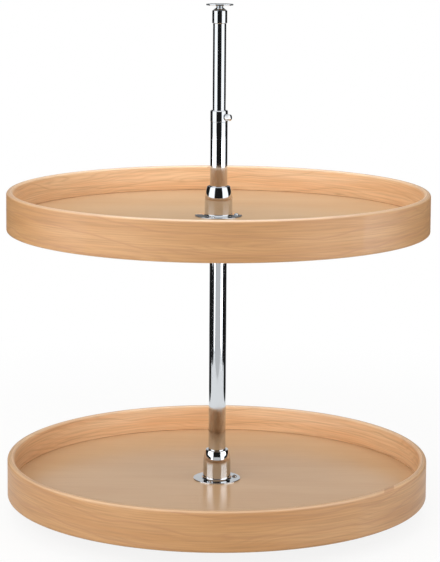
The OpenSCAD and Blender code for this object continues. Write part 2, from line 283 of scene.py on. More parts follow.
def bent_maple(name, finish, radius, wall, joint, streak=None):
    """Maple plies bent round a former, glued to a hoop and finished in clear satin lacquer.

    The eye sees long flat-sawn figure that runs round the hoop, fine fibre lines, thin glue lines on the
    edges, a painted highlight on the edges' rounding, a paler inner veneer that also paints the brighter
    light inside the tray, and wide soft reflections. The veneer's own seam stands at the back."""
    tree, material = new_material(name)
    place = add_node(tree, "ShaderNodeTexCoord").outputs["Object"]
    turned = add_node(tree, "ShaderNodeVectorRotate", {"Vector": place, "Angle": math.pi / 2},
                      rotation_type="Z_AXIS").outputs[0]
    xyz = add_node(tree, "ShaderNodeSeparateXYZ", {0: turned})
    angle = add_node(tree, "ShaderNodeMath", {0: xyz.outputs["Y"], 1: xyz.outputs["X"]}, operation="ARCTAN2")
    along = add_node(tree, "ShaderNodeMath", {0: angle.outputs[0], 1: radius},
                     operation="MULTIPLY").outputs[0]
    flat = add_node(tree, "ShaderNodeCombineXYZ", {"X": xyz.outputs["X"], "Y": xyz.outputs["Y"]}).outputs[0]
    depth = add_node(tree, "ShaderNodeVectorMath", {0: flat}, operation="LENGTH").outputs["Value"]
    grain = add_node(tree, "ShaderNodeCombineXYZ", {"X": along, "Y": depth, "Z": xyz.outputs["Z"]}).outputs[0]

    # Figure: growth rings about 4.5 mm apart, pulled into arches 0.3 m long by a slow wander of the cut.
    slow = add_node(tree, "ShaderNodeVectorMath", {0: grain, 1: RING_CELLS}, operation="MULTIPLY")
    wander = add_node(tree, "ShaderNodeTexNoise", {"Vector": slow.outputs[0], "Scale": 1.0, "Detail": 2.0,
                                                   "Roughness": 0.45, "Distortion": 0.35})
    cut = add_node(tree, "ShaderNodeMath", {0: wander.outputs["Fac"], 1: RING_WANDER}, operation="MULTIPLY")
    rings = add_node(tree, "ShaderNodeMath", {0: xyz.outputs["Z"], 1: RINGS_PER_METRE, 2: cut.outputs[0]},
                     operation="MULTIPLY_ADD")
    phase = add_node(tree, "ShaderNodeMath", {0: rings.outputs[0]}, operation="FRACT")
    line = add_node(tree, "ShaderNodeValToRGB", {"Fac": phase.outputs[0]},
                    stops=[(0.0, grey(0.4)), (0.2, grey(0.05)), (0.6, grey(0.0)), (1.0, grey(0.4))])
    # Fibre lines: real ones are 0.1 mm wide, drawn 2.6 mm wide and 110 mm long so that they show.
    thin = add_node(tree, "ShaderNodeVectorMath", {0: grain, 1: FIBRE_CELLS}, operation="MULTIPLY")
    fibre = add_node(tree, "ShaderNodeTexNoise", {"Vector": thin.outputs[0], "Scale": 1.0, "Detail": 3.0,
                                                  "Roughness": 0.7})
    # Bands of redder wood, about 15 mm wide and 0.2 m long.
    wide = add_node(tree, "ShaderNodeVectorMath", {0: grain, 1: BAND_CELLS}, operation="MULTIPLY")
    band = add_node(tree, "ShaderNodeTexNoise", {"Vector": wide.outputs[0], "Scale": 1.0, "Detail": 2.0,
                                                 "Roughness": 0.5, "Distortion": 0.2})
    outer = add_node(tree, "ShaderNodeValToRGB", {"Fac": band.outputs["Fac"]},
                     stops=[(0.32, finish.rim_light), (0.7, finish.rim_warm)])
    inner = add_node(tree, "ShaderNodeValToRGB", {"Fac": band.outputs["Fac"]},
                     stops=[(0.32, finish.inner_pale_and_lit), (0.7, finish.inner_warm_and_lit)])
    # The inner veneer is the paler sheet, and paler still as painted light: it stands in for the brighter
    # bounce light and sheen inside the tray. Its colour starts 6 mm in from the outer face.
    side = add_node(tree, "ShaderNodeMath", {0: depth, 1: radius - OUTER_VENEER}, operation="LESS_THAN")
    sheet = add_node(tree, "ShaderNodeMix", {0: side.outputs[0], 6: outer.outputs["Color"],
                                             7: inner.outputs["Color"]}, data_type="RGBA")
    # Rings show half as strongly on the inner veneer.
    share = add_node(tree, "ShaderNodeMath", {0: side.outputs[0], 1: RING_INSIDE - 1.0, 2: 1.0},
                     operation="MULTIPLY_ADD")
    ring = add_node(tree, "ShaderNodeMath", {0: line.outputs["Color"], 1: share.outputs[0]},
                    operation="MULTIPLY")
    ringed = add_node(tree, "ShaderNodeMix", {0: ring.outputs[0], 6: sheet.outputs[2],
                                              7: finish.rim_line}, data_type="RGBA").outputs[2]
    fibre_shade = add_node(tree, "ShaderNodeValToRGB", {"Fac": fibre.outputs["Fac"]},
                           stops=[(0.36, grey(0.84)), (0.56, grey(1.0))])
    wood = add_node(tree, "ShaderNodeMix", {0: 1.0, 6: ringed, 7: fibre_shade.outputs["Color"]},
                    data_type="RGBA", blend_type="MULTIPLY").outputs[2]
    # Long lines: dark growth rings 25 mm apart, which rise and fall by 14 mm twice round the hoop.
    wave = add_node(tree, "ShaderNodeVectorMath", {0: grain, 1: SWAY_CELLS}, operation="MULTIPLY")
    sway = add_node(tree, "ShaderNodeTexNoise", {"Vector": wave.outputs[0], "Scale": 1.0, "Detail": 1.0})
    twice = add_node(tree, "ShaderNodeMath", {0: angle.outputs[0], 1: 2.0, 2: LONG_LINE_TURN},
                     operation="MULTIPLY_ADD")
    swing = add_node(tree, "ShaderNodeMath", {0: twice.outputs[0]}, operation="SINE")
    bent = add_node(tree, "ShaderNodeMath", {0: swing.outputs[0], 1: LONG_LINE_SWING, 2: sway.outputs["Fac"]},
                    operation="MULTIPLY_ADD")
    climb = add_node(tree, "ShaderNodeMath", {0: xyz.outputs["Z"], 1: LONG_LINES_PER_METRE,
                                              2: bent.outputs[0]}, operation="MULTIPLY_ADD")
    lifted = add_node(tree, "ShaderNodeMath", {0: climb.outputs[0], 1: LONG_LINE_LIFT}, operation="ADD")
    step = add_node(tree, "ShaderNodeMath", {0: lifted.outputs[0]}, operation="FRACT")
    dark = add_node(tree, "ShaderNodeValToRGB", {"Fac": step.outputs[0]},
                    stops=[(0.0, grey(1.0)), (0.05, grey(0.7)), (0.12, grey(0.0)), (1.0, grey(0.0))])
    fade = add_node(tree, "ShaderNodeMath", {0: side.outputs[0], 1: LONG_LINE_INSIDE - LONG_LINE_OUTSIDE,
                                             2: LONG_LINE_OUTSIDE}, operation="MULTIPLY_ADD")
    drawn_line = add_node(tree, "ShaderNodeMath", {0: dark.outputs["Color"], 1: fade.outputs[0]},
                          operation="MULTIPLY")
    wood = add_node(tree, "ShaderNodeMix", {0: drawn_line.outputs[0], 6: wood, 7: finish.rim_line},
                    data_type="RGBA").outputs[2]

    # Glue lines between four plies of 2.5 mm, 0.24 mm wide, which show on the top and bottom edges. The edges
    # turn paler over their rounding the more their normal points up or down: a painted highlight, partly the
    # paler tone of the plies sanded across.
    ply_depth = wall / PLIES
    inside = add_node(tree, "ShaderNodeMath", {0: depth, 1: radius - wall}, operation="SUBTRACT")
    plies = add_node(tree, "ShaderNodeMath", {0: inside.outputs[0], 1: ply_depth / 2}, operation="ADD")
    ply = add_node(tree, "ShaderNodeMath", {0: plies.outputs[0], 1: ply_depth}, operation="MODULO")
    off = add_node(tree, "ShaderNodeMath", {0: ply.outputs[0], 1: ply_depth / 2, 2: GLUE_HALF_WIDTH},
                   operation="COMPARE")
    normal = add_node(tree, "ShaderNodeNewGeometry").outputs["Normal"]
    facing = add_node(tree, "ShaderNodeSeparateXYZ", {0: normal})
    upward = add_node(tree, "ShaderNodeMath", {0: facing.outputs["Z"]}, operation="ABSOLUTE")
    edge = add_node(tree, "ShaderNodeMath", {0: upward.outputs[0], 1: EDGE_FULL}, operation="GREATER_THAN")
    # Painted highlight: paler towards the level parts of the edges' rounding.
    edge_highlight = add_node(tree, "ShaderNodeMapRange", {
        "Value": upward.outputs[0], "From Min": EDGE_HIGHLIGHT_START, "From Max": EDGE_FULL,
        "To Min": 0.0, "To Max": EDGE_HIGHLIGHT_STRENGTH}, interpolation_type="SMOOTHSTEP")
    wood = add_node(tree, "ShaderNodeMix", {0: edge_highlight.outputs[0], 6: wood, 7: finish.rim_edge_highlight},
                    data_type="RGBA").outputs[2]
    glued = add_node(tree, "ShaderNodeMath", {0: off.outputs[0], 1: edge.outputs[0]}, operation="MULTIPLY")
    glue = add_node(tree, "ShaderNodeMath", {0: glued.outputs[0], 1: GLUE_STRENGTH}, operation="MULTIPLY")
    wood = add_node(tree, "ShaderNodeMix", {0: glue.outputs[0], 6: wood, 7: finish.glue},
                    data_type="RGBA").outputs[2]

    # The glued lap shows on the edges and their rounding only: a redder patch 24 mm long whose ends slant
    # across the wall.
    met = add_node(tree, "ShaderNodeVectorRotate", {"Vector": place, "Angle": -joint}, rotation_type="Z_AXIS")
    there = add_node(tree, "ShaderNodeSeparateXYZ", {0: met.outputs[0]})
    slant = add_node(tree, "ShaderNodeMath", {0: inside.outputs[0], 1: LAP_SLANT, 2: there.outputs["Y"]},
                     operation="MULTIPLY_ADD")
    lap = add_node(tree, "ShaderNodeMath", {0: slant.outputs[0], 1: LAP_MIDDLE, 2: LAP_HALF_LENGTH},
                   operation="COMPARE")
    ahead = add_node(tree, "ShaderNodeMath", {0: there.outputs["X"], 1: 0.0}, operation="GREATER_THAN")
    spliced = add_node(tree, "ShaderNodeMath", {0: lap.outputs[0], 1: ahead.outputs[0]}, operation="MULTIPLY")
    rounded = add_node(tree, "ShaderNodeMath", {0: upward.outputs[0], 1: LAP_EDGE}, operation="GREATER_THAN")
    patch = add_node(tree, "ShaderNodeMath", {0: spliced.outputs[0], 1: rounded.outputs[0]},
                     operation="MULTIPLY")
    tint = add_node(tree, "ShaderNodeMath", {0: patch.outputs[0], 1: LAP_STRENGTH}, operation="MULTIPLY")
    wood = add_node(tree, "ShaderNodeMix", {0: tint.outputs[0], 6: wood, 7: finish.rim_line},
                    data_type="RGBA").outputs[2]

    if streak:
        # A mineral streak: grey-brown, about 20 mm long and 3 mm high, drawn out along the fibres.
        gap = add_node(tree, "ShaderNodeVectorMath", {0: place, 1: streak}, operation="SUBTRACT")
        drawn = add_node(tree, "ShaderNodeVectorMath", {0: gap.outputs[0], 1: STREAK_CELLS},
                         operation="MULTIPLY")
        far = add_node(tree, "ShaderNodeVectorMath", {0: drawn.outputs[0]}, operation="LENGTH")
        torn = add_node(tree, "ShaderNodeMath", {0: fibre.outputs["Fac"], 1: 0.9, 2: far.outputs["Value"]},
                        operation="MULTIPLY_ADD")
        mark = add_node(tree, "ShaderNodeValToRGB", {"Fac": torn.outputs[0]},
                        stops=[(0.35, grey(0.5)), (1.0, grey(0.0))])
        wood = add_node(tree, "ShaderNodeMix", {0: mark.outputs["Color"], 6: wood, 7: finish.mineral},
                        data_type="RGBA").outputs[2]

    relief = add_node(tree, "ShaderNodeBump", {"Height": fibre.outputs["Fac"], "Strength": 0.12,
                                               "Distance": 0.15 * MM})
    sheen = add_node(tree, "ShaderNodeMapRange", {
        "Value": fibre.outputs["Fac"], "To Min": 0.36, "To Max": 0.5})
    shader = add_node(tree, "ShaderNodeBsdfPrincipled", {
        "Base Color": wood, "Roughness": sheen.outputs[0], "IOR": 1.5, "Normal": relief.outputs[0],
        "Specular IOR Level": 0.0, "Coat Weight": 1.0, "Coat Roughness": 0.46, "Coat IOR": 1.5})
    add_node(tree, "ShaderNodeOutputMaterial", {"Surface": shader.outputs[0]})
    return material


def lacquered_plywood(name, finish):
    """Rotary-cut maple veneer on plywood, sanded flat, in clear satin lacquer.

    The eye sees a calm pale face with faint long streaks along the grain, and the hub's soft reflection."""
    tree, material = new_material(name)
    place = add_node(tree, "ShaderNodeTexCoord").outputs["Object"]
    # Growth-ring figure: bands about 90 mm wide, with finer ones in them, that wander over half a metre.
    slow = add_node(tree, "ShaderNodeVectorMath", {0: place, 1: (2.2, 11.0, 11.0)}, operation="MULTIPLY")
    figure = add_node(tree, "ShaderNodeTexNoise", {"Vector": slow.outputs[0], "Scale": 1.0, "Detail": 3.0,
                                                   "Roughness": 0.5, "Distortion": 0.6})
    # Fibre streaks: drawn 3 mm wide and 80 mm long so that they show.
    thin = add_node(tree, "ShaderNodeVectorMath", {0: place, 1: (12.0, 330.0, 60.0)}, operation="MULTIPLY")
    fibre = add_node(tree, "ShaderNodeTexNoise", {"Vector": thin.outputs[0], "Scale": 1.0, "Detail": 3.0,
                                                  "Roughness": 0.55})
    tone = add_node(tree, "ShaderNodeValToRGB", {"Fac": figure.outputs["Fac"]},
                    stops=[(0.3, finish.floor_light), (0.7, finish.floor_warm)])
    shade = add_node(tree, "ShaderNodeValToRGB", {"Fac": fibre.outputs["Fac"]},
                     stops=[(0.3, grey(0.955)), (0.65, grey(1.0))])
    wood = add_node(tree, "ShaderNodeMix", {0: 1.0, 6: tone.outputs["Color"], 7: shade.outputs["Color"]},
                    data_type="RGBA", blend_type="MULTIPLY").outputs[2]
    relief = add_node(tree, "ShaderNodeBump", {"Height": fibre.outputs["Fac"], "Strength": 0.06,
                                               "Distance": 0.1 * MM})
    sheen = add_node(tree, "ShaderNodeMapRange", {
        "Value": fibre.outputs["Fac"], "To Min": 0.34, "To Max": 0.42})
    shader = add_node(tree, "ShaderNodeBsdfPrincipled", {
        "Base Color": wood, "Roughness": sheen.outputs[0], "IOR": 1.5, "Normal": relief.outputs[0],
        "Specular IOR Level": 0.0, "Coat Weight": 0.85, "Coat Roughness": 0.24, "Coat IOR": 1.5})
    add_node(tree, "ShaderNodeOutputMaterial", {"Surface": shader.outputs[0]})
    return material


def chrome_plate(name, finish):
    """Bright chrome plate over polished steel.

    The eye sees a mirror with a faint blue cast, whose reflections are softened here and there by
    handling, and very fine polishing lines round the turned parts."""
    tree, material = new_material(name)
    place = add_node(tree, "ShaderNodeTexCoord").outputs["Object"]
    # Handling marks: patches of about 12 mm.
    patch = add_node(tree, "ShaderNodeTexNoise", {"Vector": place, "Scale": 80.0, "Detail": 3.0})
    blur = add_node(tree, "ShaderNodeMapRange", {
        "Value": patch.outputs["Fac"], "From Min": 0.35, "From Max": 0.75, "To Min": 0.035, "To Max": 0.085})
    # Polishing lines: rings 0.3 mm apart.
    level = add_node(tree, "ShaderNodeVectorMath", {0: place, 1: (60.0, 60.0, 3300.0)}, operation="MULTIPLY")
    lines = add_node(tree, "ShaderNodeTexNoise", {"Vector": level.outputs[0], "Scale": 1.0, "Detail": 1.0})
    relief = add_node(tree, "ShaderNodeBump", {"Height": lines.outputs["Fac"], "Strength": 0.006,
                                               "Distance": 0.05 * MM})
    shader = add_node(tree, "ShaderNodeBsdfPrincipled", {
        "Base Color": finish.chrome, "Metallic": 1.0, "Roughness": blur.outputs[0],
        "Normal": relief.outputs[0]})
    add_node(tree, "ShaderNodeOutputMaterial", {"Surface": shader.outputs[0]})
    return material


def stamped_chrome(name, finish):
    """Stamped plate with a drawn neck, chrome plated over steel that is polished on the neck alone.

    The eye sees the neck as bright as the pole, and the plate's level faces as a duller grey with the faint
    grain of rolled sheet, painted darker as well for the shade and dark reflection on them."""
    tree, material = new_material(name)
    place = add_node(tree, "ShaderNodeTexCoord").outputs["Object"]
    normal = add_node(tree, "ShaderNodeNewGeometry").outputs["Normal"]
    facing = add_node(tree, "ShaderNodeSeparateXYZ", {0: normal})
    level = add_node(tree, "ShaderNodeMath", {0: facing.outputs["Z"]}, operation="ABSOLUTE")
    # Rolling grain: drawn 0.5 mm wide and 8 mm long.
    rolled = add_node(tree, "ShaderNodeVectorMath", {0: place, 1: (125.0, 2000.0, 500.0)},
                      operation="MULTIPLY")
    grain = add_node(tree, "ShaderNodeTexNoise", {"Vector": rolled.outputs[0], "Scale": 1.0, "Detail": 2.0})
    # Faces within about 25 degrees of level are dull and painted darker, which is painted shade, those within
    # about 11 degrees fully so.
    dull_and_shaded = add_node(tree, "ShaderNodeMapRange", {
        "Value": level.outputs[0], "From Min": 0.9, "From Max": 0.98}, interpolation_type="SMOOTHSTEP")
    tone = add_node(tree, "ShaderNodeMix", {0: dull_and_shaded.outputs[0], 6: finish.chrome, 7: finish.plate_grey_and_shade},
                    data_type="RGBA")
    rough = add_node(tree, "ShaderNodeMapRange", {
        "Value": grain.outputs["Fac"], "To Min": 0.2, "To Max": 0.34})
    blur = add_node(tree, "ShaderNodeMath", {0: rough.outputs[0], 1: dull_and_shaded.outputs[0]}, operation="MULTIPLY")
    least = add_node(tree, "ShaderNodeMath", {0: blur.outputs[0], 1: 0.05}, operation="MAXIMUM")
    relief = add_node(tree, "ShaderNodeBump", {"Height": grain.outputs["Fac"], "Strength": 0.02,
                                               "Distance": 0.05 * MM})
    shader = add_node(tree, "ShaderNodeBsdfPrincipled", {
        "Base Color": tone.outputs[2], "Metallic": 1.0, "Roughness": least.outputs[0],
        "Normal": relief.outputs[0]})
    add_node(tree, "ShaderNodeOutputMaterial", {"Surface": shader.outputs[0]})
    return material


def satin_zinc(name, finish):
    """Turned and pressed steel, zinc plated and passivated.

    The eye sees a satin grey with a slight cloudiness from the bath and fine turning lines."""
    tree, material = new_material(name)
    place = add_node(tree, "ShaderNodeTexCoord").outputs["Object"]
    # Clouds from the bath: patches of about 7 mm.
    cloud = add_node(tree, "ShaderNodeTexNoise", {"Vector": place, "Scale": 140.0, "Detail": 4.0})
    tone = add_node(tree, "ShaderNodeValToRGB", {"Fac": cloud.outputs["Fac"]},
                    stops=[(0.3, tuple(0.82 * c for c in finish.zinc[:3]) + (1.0,)), (0.7, finish.zinc)])
    # Turning lines: rings 0.25 mm apart, by distance from the axis and by height.
    flat = add_node(tree, "ShaderNodeVectorMath", {0: place, 1: (1.0, 1.0, 0.0)}, operation="MULTIPLY")
    reach = add_node(tree, "ShaderNodeVectorMath", {0: flat.outputs[0]}, operation="LENGTH")
    xyz = add_node(tree, "ShaderNodeSeparateXYZ", {0: place})
    path = add_node(tree, "ShaderNodeMath", {0: reach.outputs["Value"], 1: xyz.outputs["Z"]}, operation="ADD")
    turn = add_node(tree, "ShaderNodeMath", {0: path.outputs[0], 1: 4000.0}, operation="MULTIPLY")
    lines = add_node(tree, "ShaderNodeTexNoise", {"W": turn.outputs[0], "Scale": 1.0, "Detail": 2.0},
                     noise_dimensions="1D")
    relief = add_node(tree, "ShaderNodeBump", {"Height": lines.outputs["Fac"], "Strength": 0.1,
                                               "Distance": 0.05 * MM})
    blur = add_node(tree, "ShaderNodeMapRange", {
        "Value": cloud.outputs["Fac"], "To Min": 0.24, "To Max": 0.42})
    shader = add_node(tree, "ShaderNodeBsdfPrincipled", {
        "Base Color": tone.outputs["Color"], "Metallic": 1.0, "Roughness": blur.outputs[0],
        "Normal": relief.outputs[0]})
    add_node(tree, "ShaderNodeOutputMaterial", {"Surface": shader.outputs[0]})
    return material


def natural_nylon(name, finish):
    """Injection-moulded natural nylon.

    The eye sees a milky white with a soft gloss and a fine moulded grain of about 0.4 mm."""
    tree, material = new_material(name)
    place = add_node(tree, "ShaderNodeTexCoord").outputs["Object"]
    # Moulded grain of 0.4 mm, and milky patches of about 11 mm.
    skin = add_node(tree, "ShaderNodeTexNoise", {"Vector": place, "Scale": 2500.0, "Detail": 2.0})
    cloud = add_node(tree, "ShaderNodeTexNoise", {"Vector": place, "Scale": 90.0, "Detail": 2.0})
    tone = add_node(tree, "ShaderNodeValToRGB", {"Fac": cloud.outputs["Fac"]},
                    stops=[(0.3, tuple(0.93 * c for c in finish.nylon[:3]) + (1.0,)), (0.7, finish.nylon)])
    relief = add_node(tree, "ShaderNodeBump", {"Height": skin.outputs["Fac"], "Strength": 0.1,
                                               "Distance": 0.05 * MM})
    blur = add_node(tree, "ShaderNodeMapRange", {
        "Value": skin.outputs["Fac"], "To Min": 0.42, "To Max": 0.58})
    shader = add_node(tree, "ShaderNodeBsdfPrincipled", {
        "Base Color": tone.outputs["Color"], "Roughness": blur.outputs[0], "IOR": 1.53,
        "Subsurface Weight": 0.15, "Subsurface Radius": (0.002, 0.0018, 0.0015),
        "Normal": relief.outputs[0]})
    add_node(tree, "ShaderNodeOutputMaterial", {"Surface": shader.outputs[0]})
    return material


def arc(centre, radius, start, end, steps):
    """Points (r, z) along a circular arc, in degrees."""
    turns = [math.radians(start + (end - start) * i / steps) for i in range(steps + 1)]
    return [(centre[0] + radius * math.cos(t), centre[1] + radius * math.sin(t)) for t in turns]


def lathe(name, section, segments):
    """A closed section (r, z) turned about the pole's axis, smooth except at its own corners."""
    rings, faces, count = [], [], len(section)
    for i in range(segments):
        turn = 2 * math.pi * i / segments
        rings += [(r * math.cos(turn), r * math.sin(turn), z) for r, z in section]
    for i in range(segments):
        here, there = i * count, (i + 1) % segments * count
        for j in range(count):
            k = (j + 1) % count
            faces.append((here + j, here + k, there + k, there + j))
    mesh = bpy.data.meshes.new(name)
    mesh.from_pydata(rings, [], faces)
    area = sum(section[j][0] * section[(j + 1) % count][1] - section[(j + 1) % count][0] * section[j][1]
               for j in range(count))
    if area > 0:
        mesh.flip_normals()
    mesh.shade_smooth()
    mesh.set_sharp_from_angle(angle=SHARP_ANGLE)
    mesh.update()
    piece = bpy.data.objects.new(name, mesh)
    bpy.context.scene.collection.objects.link(piece)
    return piece


def fit_piece(piece, body, node, material):
    """Gives a new piece its finish, its body and the CAD node that it stands for."""
    piece.data.materials.append(material)
    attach(piece, body)
    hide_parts(node)


def dress(nodes, material):
    """Gives carried-over CAD nodes their finish."""
    for node in nodes:
        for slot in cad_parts[node].material_slots:
            slot.material = material


def finish_of(builder, finish):
    """The shared material that a builder makes, made the first time that it is asked for."""
    return bpy.data.materials.get(builder.__name__) or builder(builder.__name__, finish)


class TURNTABLE_OT_rims(bpy.types.Operator):
    """Builds both bent-maple rims with their rounded edges and the groove for the floor"""
    bl_idname = "turntable.rims"
    bl_label = "Bent rims"

    def execute(self, context):
        tray, finish = context.scene.turntable_trays, context.scene.turntable_finish
        joints = {"lower": tray.lower_joint, "upper": tray.upper_joint}
        streaks = {"lower": None, "upper": UPPER_STREAK}
        for side in TRAYS:
            low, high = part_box(side + "_rim")
            out, inner = high.x, high.x - tray.wall
            floor_z, top = low.z + tray.floor_lift, low.z + tray.floor_lift + tray.floor_thickness
            foot, head = tray.foot_round, tray.top_round
            section = (
                arc((out - foot, low.z + foot), foot, -90, 0, 5)
                + [(out, low.z + (high.z - low.z) * i / 12) for i in range(1, 12)]
                + arc((out - head, high.z - head), head, 0, 90, 8)
                + arc((inner + head, high.z - head), head, 90, 180, 8)
                + arc((inner + tray.shadow_gap, top + 2 * tray.shadow_gap), tray.shadow_gap, 180, 270, 3)
                + [(inner + tray.groove, top + tray.shadow_gap), (inner + tray.groove, floor_z)]
                + [(inner, floor_z)]
                + arc((inner + foot, low.z + foot), foot, 180, 270, 5))
            rim = lathe(side + "_bent_rim", section, tray.segments)
            maple = bent_maple("bent_maple_" + side, finish, out, tray.wall, joints[side], streaks[side])
            fit_piece(rim, side + "_tray", side + "_rim", maple)
        return {"FINISHED"}


class TURNTABLE_OT_floors(bpy.types.Operator):
    """Finishes both plywood floors in lacquered maple veneer"""
    bl_idname = "turntable.floors"
    bl_label = "Plywood floors"

    def execute(self, context):
        finish = context.scene.turntable_finish
        dress([side + "_floor" for side in TRAYS], finish_of(lacquered_plywood, finish))
        return {"FINISHED"}


class TURNTABLE_OT_hubs(bpy.types.Operator):
    """Builds both chromed hubs, with flange, fillet, straight waist, dome and rolled lip"""
    bl_idname = "turntable.hubs"
    bl_label = "Turned hubs"

    def execute(self, context):
        hub, finish = context.scene.turntable_hubs, context.scene.turntable_finish
        chrome = finish_of(chrome_plate, finish)
        lean = math.degrees(hub.lean)
        for side in TRAYS:
            low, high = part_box(side + "_hub")
            edge = high.x
            rise = high.z - low.z - hub.shoulder - hub.lip_round
            dome = rise / math.sin(hub.lean) + hub.lip_round
            dome_centre = (hub.waist - dome, low.z + hub.shoulder)
            lip_centre = (dome_centre[0] + (dome - hub.lip_round) * math.cos(hub.lean),
                          dome_centre[1] + (dome - hub.lip_round) * math.sin(hub.lean))
            section = (
                [(hub.bore, low.z), (edge, low.z)]
                + arc((edge - hub.flange_round, low.z + hub.flange - hub.flange_round),
                      hub.flange_round, 0, 90, 10)
                + arc((hub.waist + hub.fillet, low.z + hub.flange + hub.fillet), hub.fillet, 270, 180, 14)
                + arc(dome_centre, dome, 0, lean, 28)
                + arc(lip_centre, hub.lip_round, lean, 90, 8)
                + [(hub.lip + HUB_BORE_EDGE, high.z), (hub.lip, high.z - HUB_BORE_EDGE),
                   (hub.lip, low.z + hub.bore_top), (hub.bore, low.z + hub.bore_top)])
            piece = lathe(side + "_turned_hub", section, HUB_SEGMENTS)
            fit_piece(piece, side + "_tray", side + "_hub", chrome)
        dress([side + "_hub_screws" for side in TRAYS], chrome)
        return {"FINISHED"}


class TURNTABLE_OT_pole(bpy.types.Operator):
    """Builds the lower tube, the inner tube, the collar and the cap, and finishes the lock screw"""
    bl_idname = "turntable.pole"
    bl_label = "Telescoping pole"

    def execute(self, context):
        pole, finish = context.scene.turntable_pole, context.scene.turntable_finish
        chrome = finish_of(chrome_plate, finish)
        for node, body in (("lower_tube", "base"), ("inner_tube", "mast")):
            low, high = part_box(node)
            out, bore, edge = high.x, high.x - pole.wall, pole.tube_edge
            levels = [low.z + edge + (high.z - low.z - 2 * edge) * i / 24 for i in range(25)]
            section = (
                [(bore + edge, low.z), (out - edge, low.z)] + [(out, z) for z in levels]
                + [(out - edge, high.z), (bore + edge, high.z), (bore, high.z - edge), (bore, low.z + edge)])
            fit_piece(lathe("drawn_" + node, section, POLE_SEGMENTS), body, node, chrome)

        low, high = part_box("tube_collar")
        bore, foot = mast_high.x + RUNNING_GAP, high.z - pole.collar_height
        spigot = tube_high.x - pole.wall
        section = (
            [(bore, low.z), (spigot, low.z), (spigot, foot), (high.x - pole.collar_foot_edge, foot)]
            + [(high.x, foot + pole.collar_foot_edge), (high.x, high.z - pole.collar_top_edge),
               (high.x - pole.collar_top_edge, high.z), (bore + COLLAR_BORE_EDGE, high.z),
               (bore, high.z - COLLAR_BORE_EDGE)])
        fit_piece(lathe("turned_collar", section, POLE_SEGMENTS), "base", "tube_collar", chrome)

        low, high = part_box("pole_cap")
        rest = high.z - CAP_SEAT
        pin_bore, plug = pole.pin + RUNNING_GAP, mast_high.x - pole.wall - CAP_PLUG_GAP
        section = [
            (mast_high.x, low.z), (high.x, low.z + pole.cap_foot_edge), (high.x, high.z - pole.cap_cone),
            (pole.neck_waist, high.z), (pin_bore, high.z), (pin_bore, rest - CAP_PLUG),
            (plug, rest - CAP_PLUG), (plug, rest), (mast_high.x, rest)]
        fit_piece(lathe("turned_cap", section, POLE_SEGMENTS), "mast", "pole_cap", chrome)
        dress(["lock_screw"], chrome)
        return {"FINISHED"}


class TURNTABLE_OT_head(bpy.types.Operator):
    """Finishes the top plate with its trumpet neck and the pivot pin"""
    bl_idname = "turntable.head"
    bl_label = "Pole head"

    def execute(self, context):
        finish = context.scene.turntable_finish
        dress(["top_plate"], finish_of(stamped_chrome, finish))
        dress(["pivot_pin"], finish_of(satin_zinc, finish))
        return {"FINISHED"}


class TURNTABLE_OT_fittings(bpy.types.Operator):
    """Finishes the base, the stop collars, the bushes and the washers"""
    bl_idname = "turntable.fittings"
    bl_label = "Base and stops"

    def execute(self, context):
        finish = context.scene.turntable_finish
        steel = ["base_plate", "base_socket", "base_set_screw"]
        steel += [side + part for side in TRAYS for part in ("_stop_collar", "_stop_screw")]
        dress(steel, finish_of(satin_zinc, finish))
        plastic = ["tube_guide"] + [side + part for side in TRAYS for part in ("_hub_bush", "_thrust_washer")]
        dress(plastic, finish_of(natural_nylon, finish))
        return {"FINISHED"}


def flat_panel(name, width, height, material):
    """A flat stage panel in its own X and Y."""
    mesh = bpy.data.meshes.new(name)
    x, y = width / 2, height / 2
    mesh.from_pydata([(-x, -y, 0), (x, -y, 0), (x, y, 0), (-x, y, 0)], [], [(0, 1, 2, 3)])
    mesh.materials.append(material)
    panel = bpy.data.objects.new(name, mesh)
    bpy.context.scene.collection.objects.link(panel)
    return panel


def softbox(name, width, height, matt, satin):
    """A rectangular softbox that isn't seen: one lamp lights matt surfaces and one shows in satin ones."""
    lamps = []
    for kind, strength in (("matt", matt), ("satin", satin)):
        data = bpy.data.lights.new(f"{name}_{kind}", "AREA")
        data.shape, data.size, data.size_y = "RECTANGLE", width, height
        data.energy = strength * math.pi * width * height
        lamp = bpy.data.objects.new(f"{name}_{kind}", data)
        bpy.context.scene.collection.objects.link(lamp)
        lamp.visible_camera = False
        lamp.visible_diffuse, lamp.visible_glossy = kind == "matt", kind == "satin"
        lamps.append(lamp)
    return lamps


def glow(name, strength):
    """An even glow in neutral white, for panels that glossy surfaces show."""
    tree, material = new_material(name)
    light = add_node(tree, "ShaderNodeEmission", {"Color": WHITE, "Strength": strength})
    add_node(tree, "ShaderNodeOutputMaterial", {"Surface": light.outputs[0]})
    return material


def stand_on_ring(thing, azimuth, distance, height):
    """Stands a panel or softbox at an azimuth from the camera's side, facing the pole."""
    turn = math.radians(azimuth)
    thing.location = (distance * math.sin(turn), -distance * math.cos(turn), height)
    thing.rotation_euler = (math.radians(90), 0.0, turn)


def seen_or_mirrored(tree):
    """A factor that is 1 for what the camera, a glossy surface or glass shows, and 0 for matt light."""
    path = add_node(tree, "ShaderNodeLightPath")
    mirror = add_node(tree, "ShaderNodeMath", {0: path.outputs["Is Glossy Ray"],
                                               1: path.outputs["Is Transmission Ray"]}, operation="MAXIMUM")
    seen = add_node(tree, "ShaderNodeMath", {0: path.outputs["Is Camera Ray"], 1: mirror.outputs[0]},
                    operation="MAXIMUM")
    return seen.outputs[0]


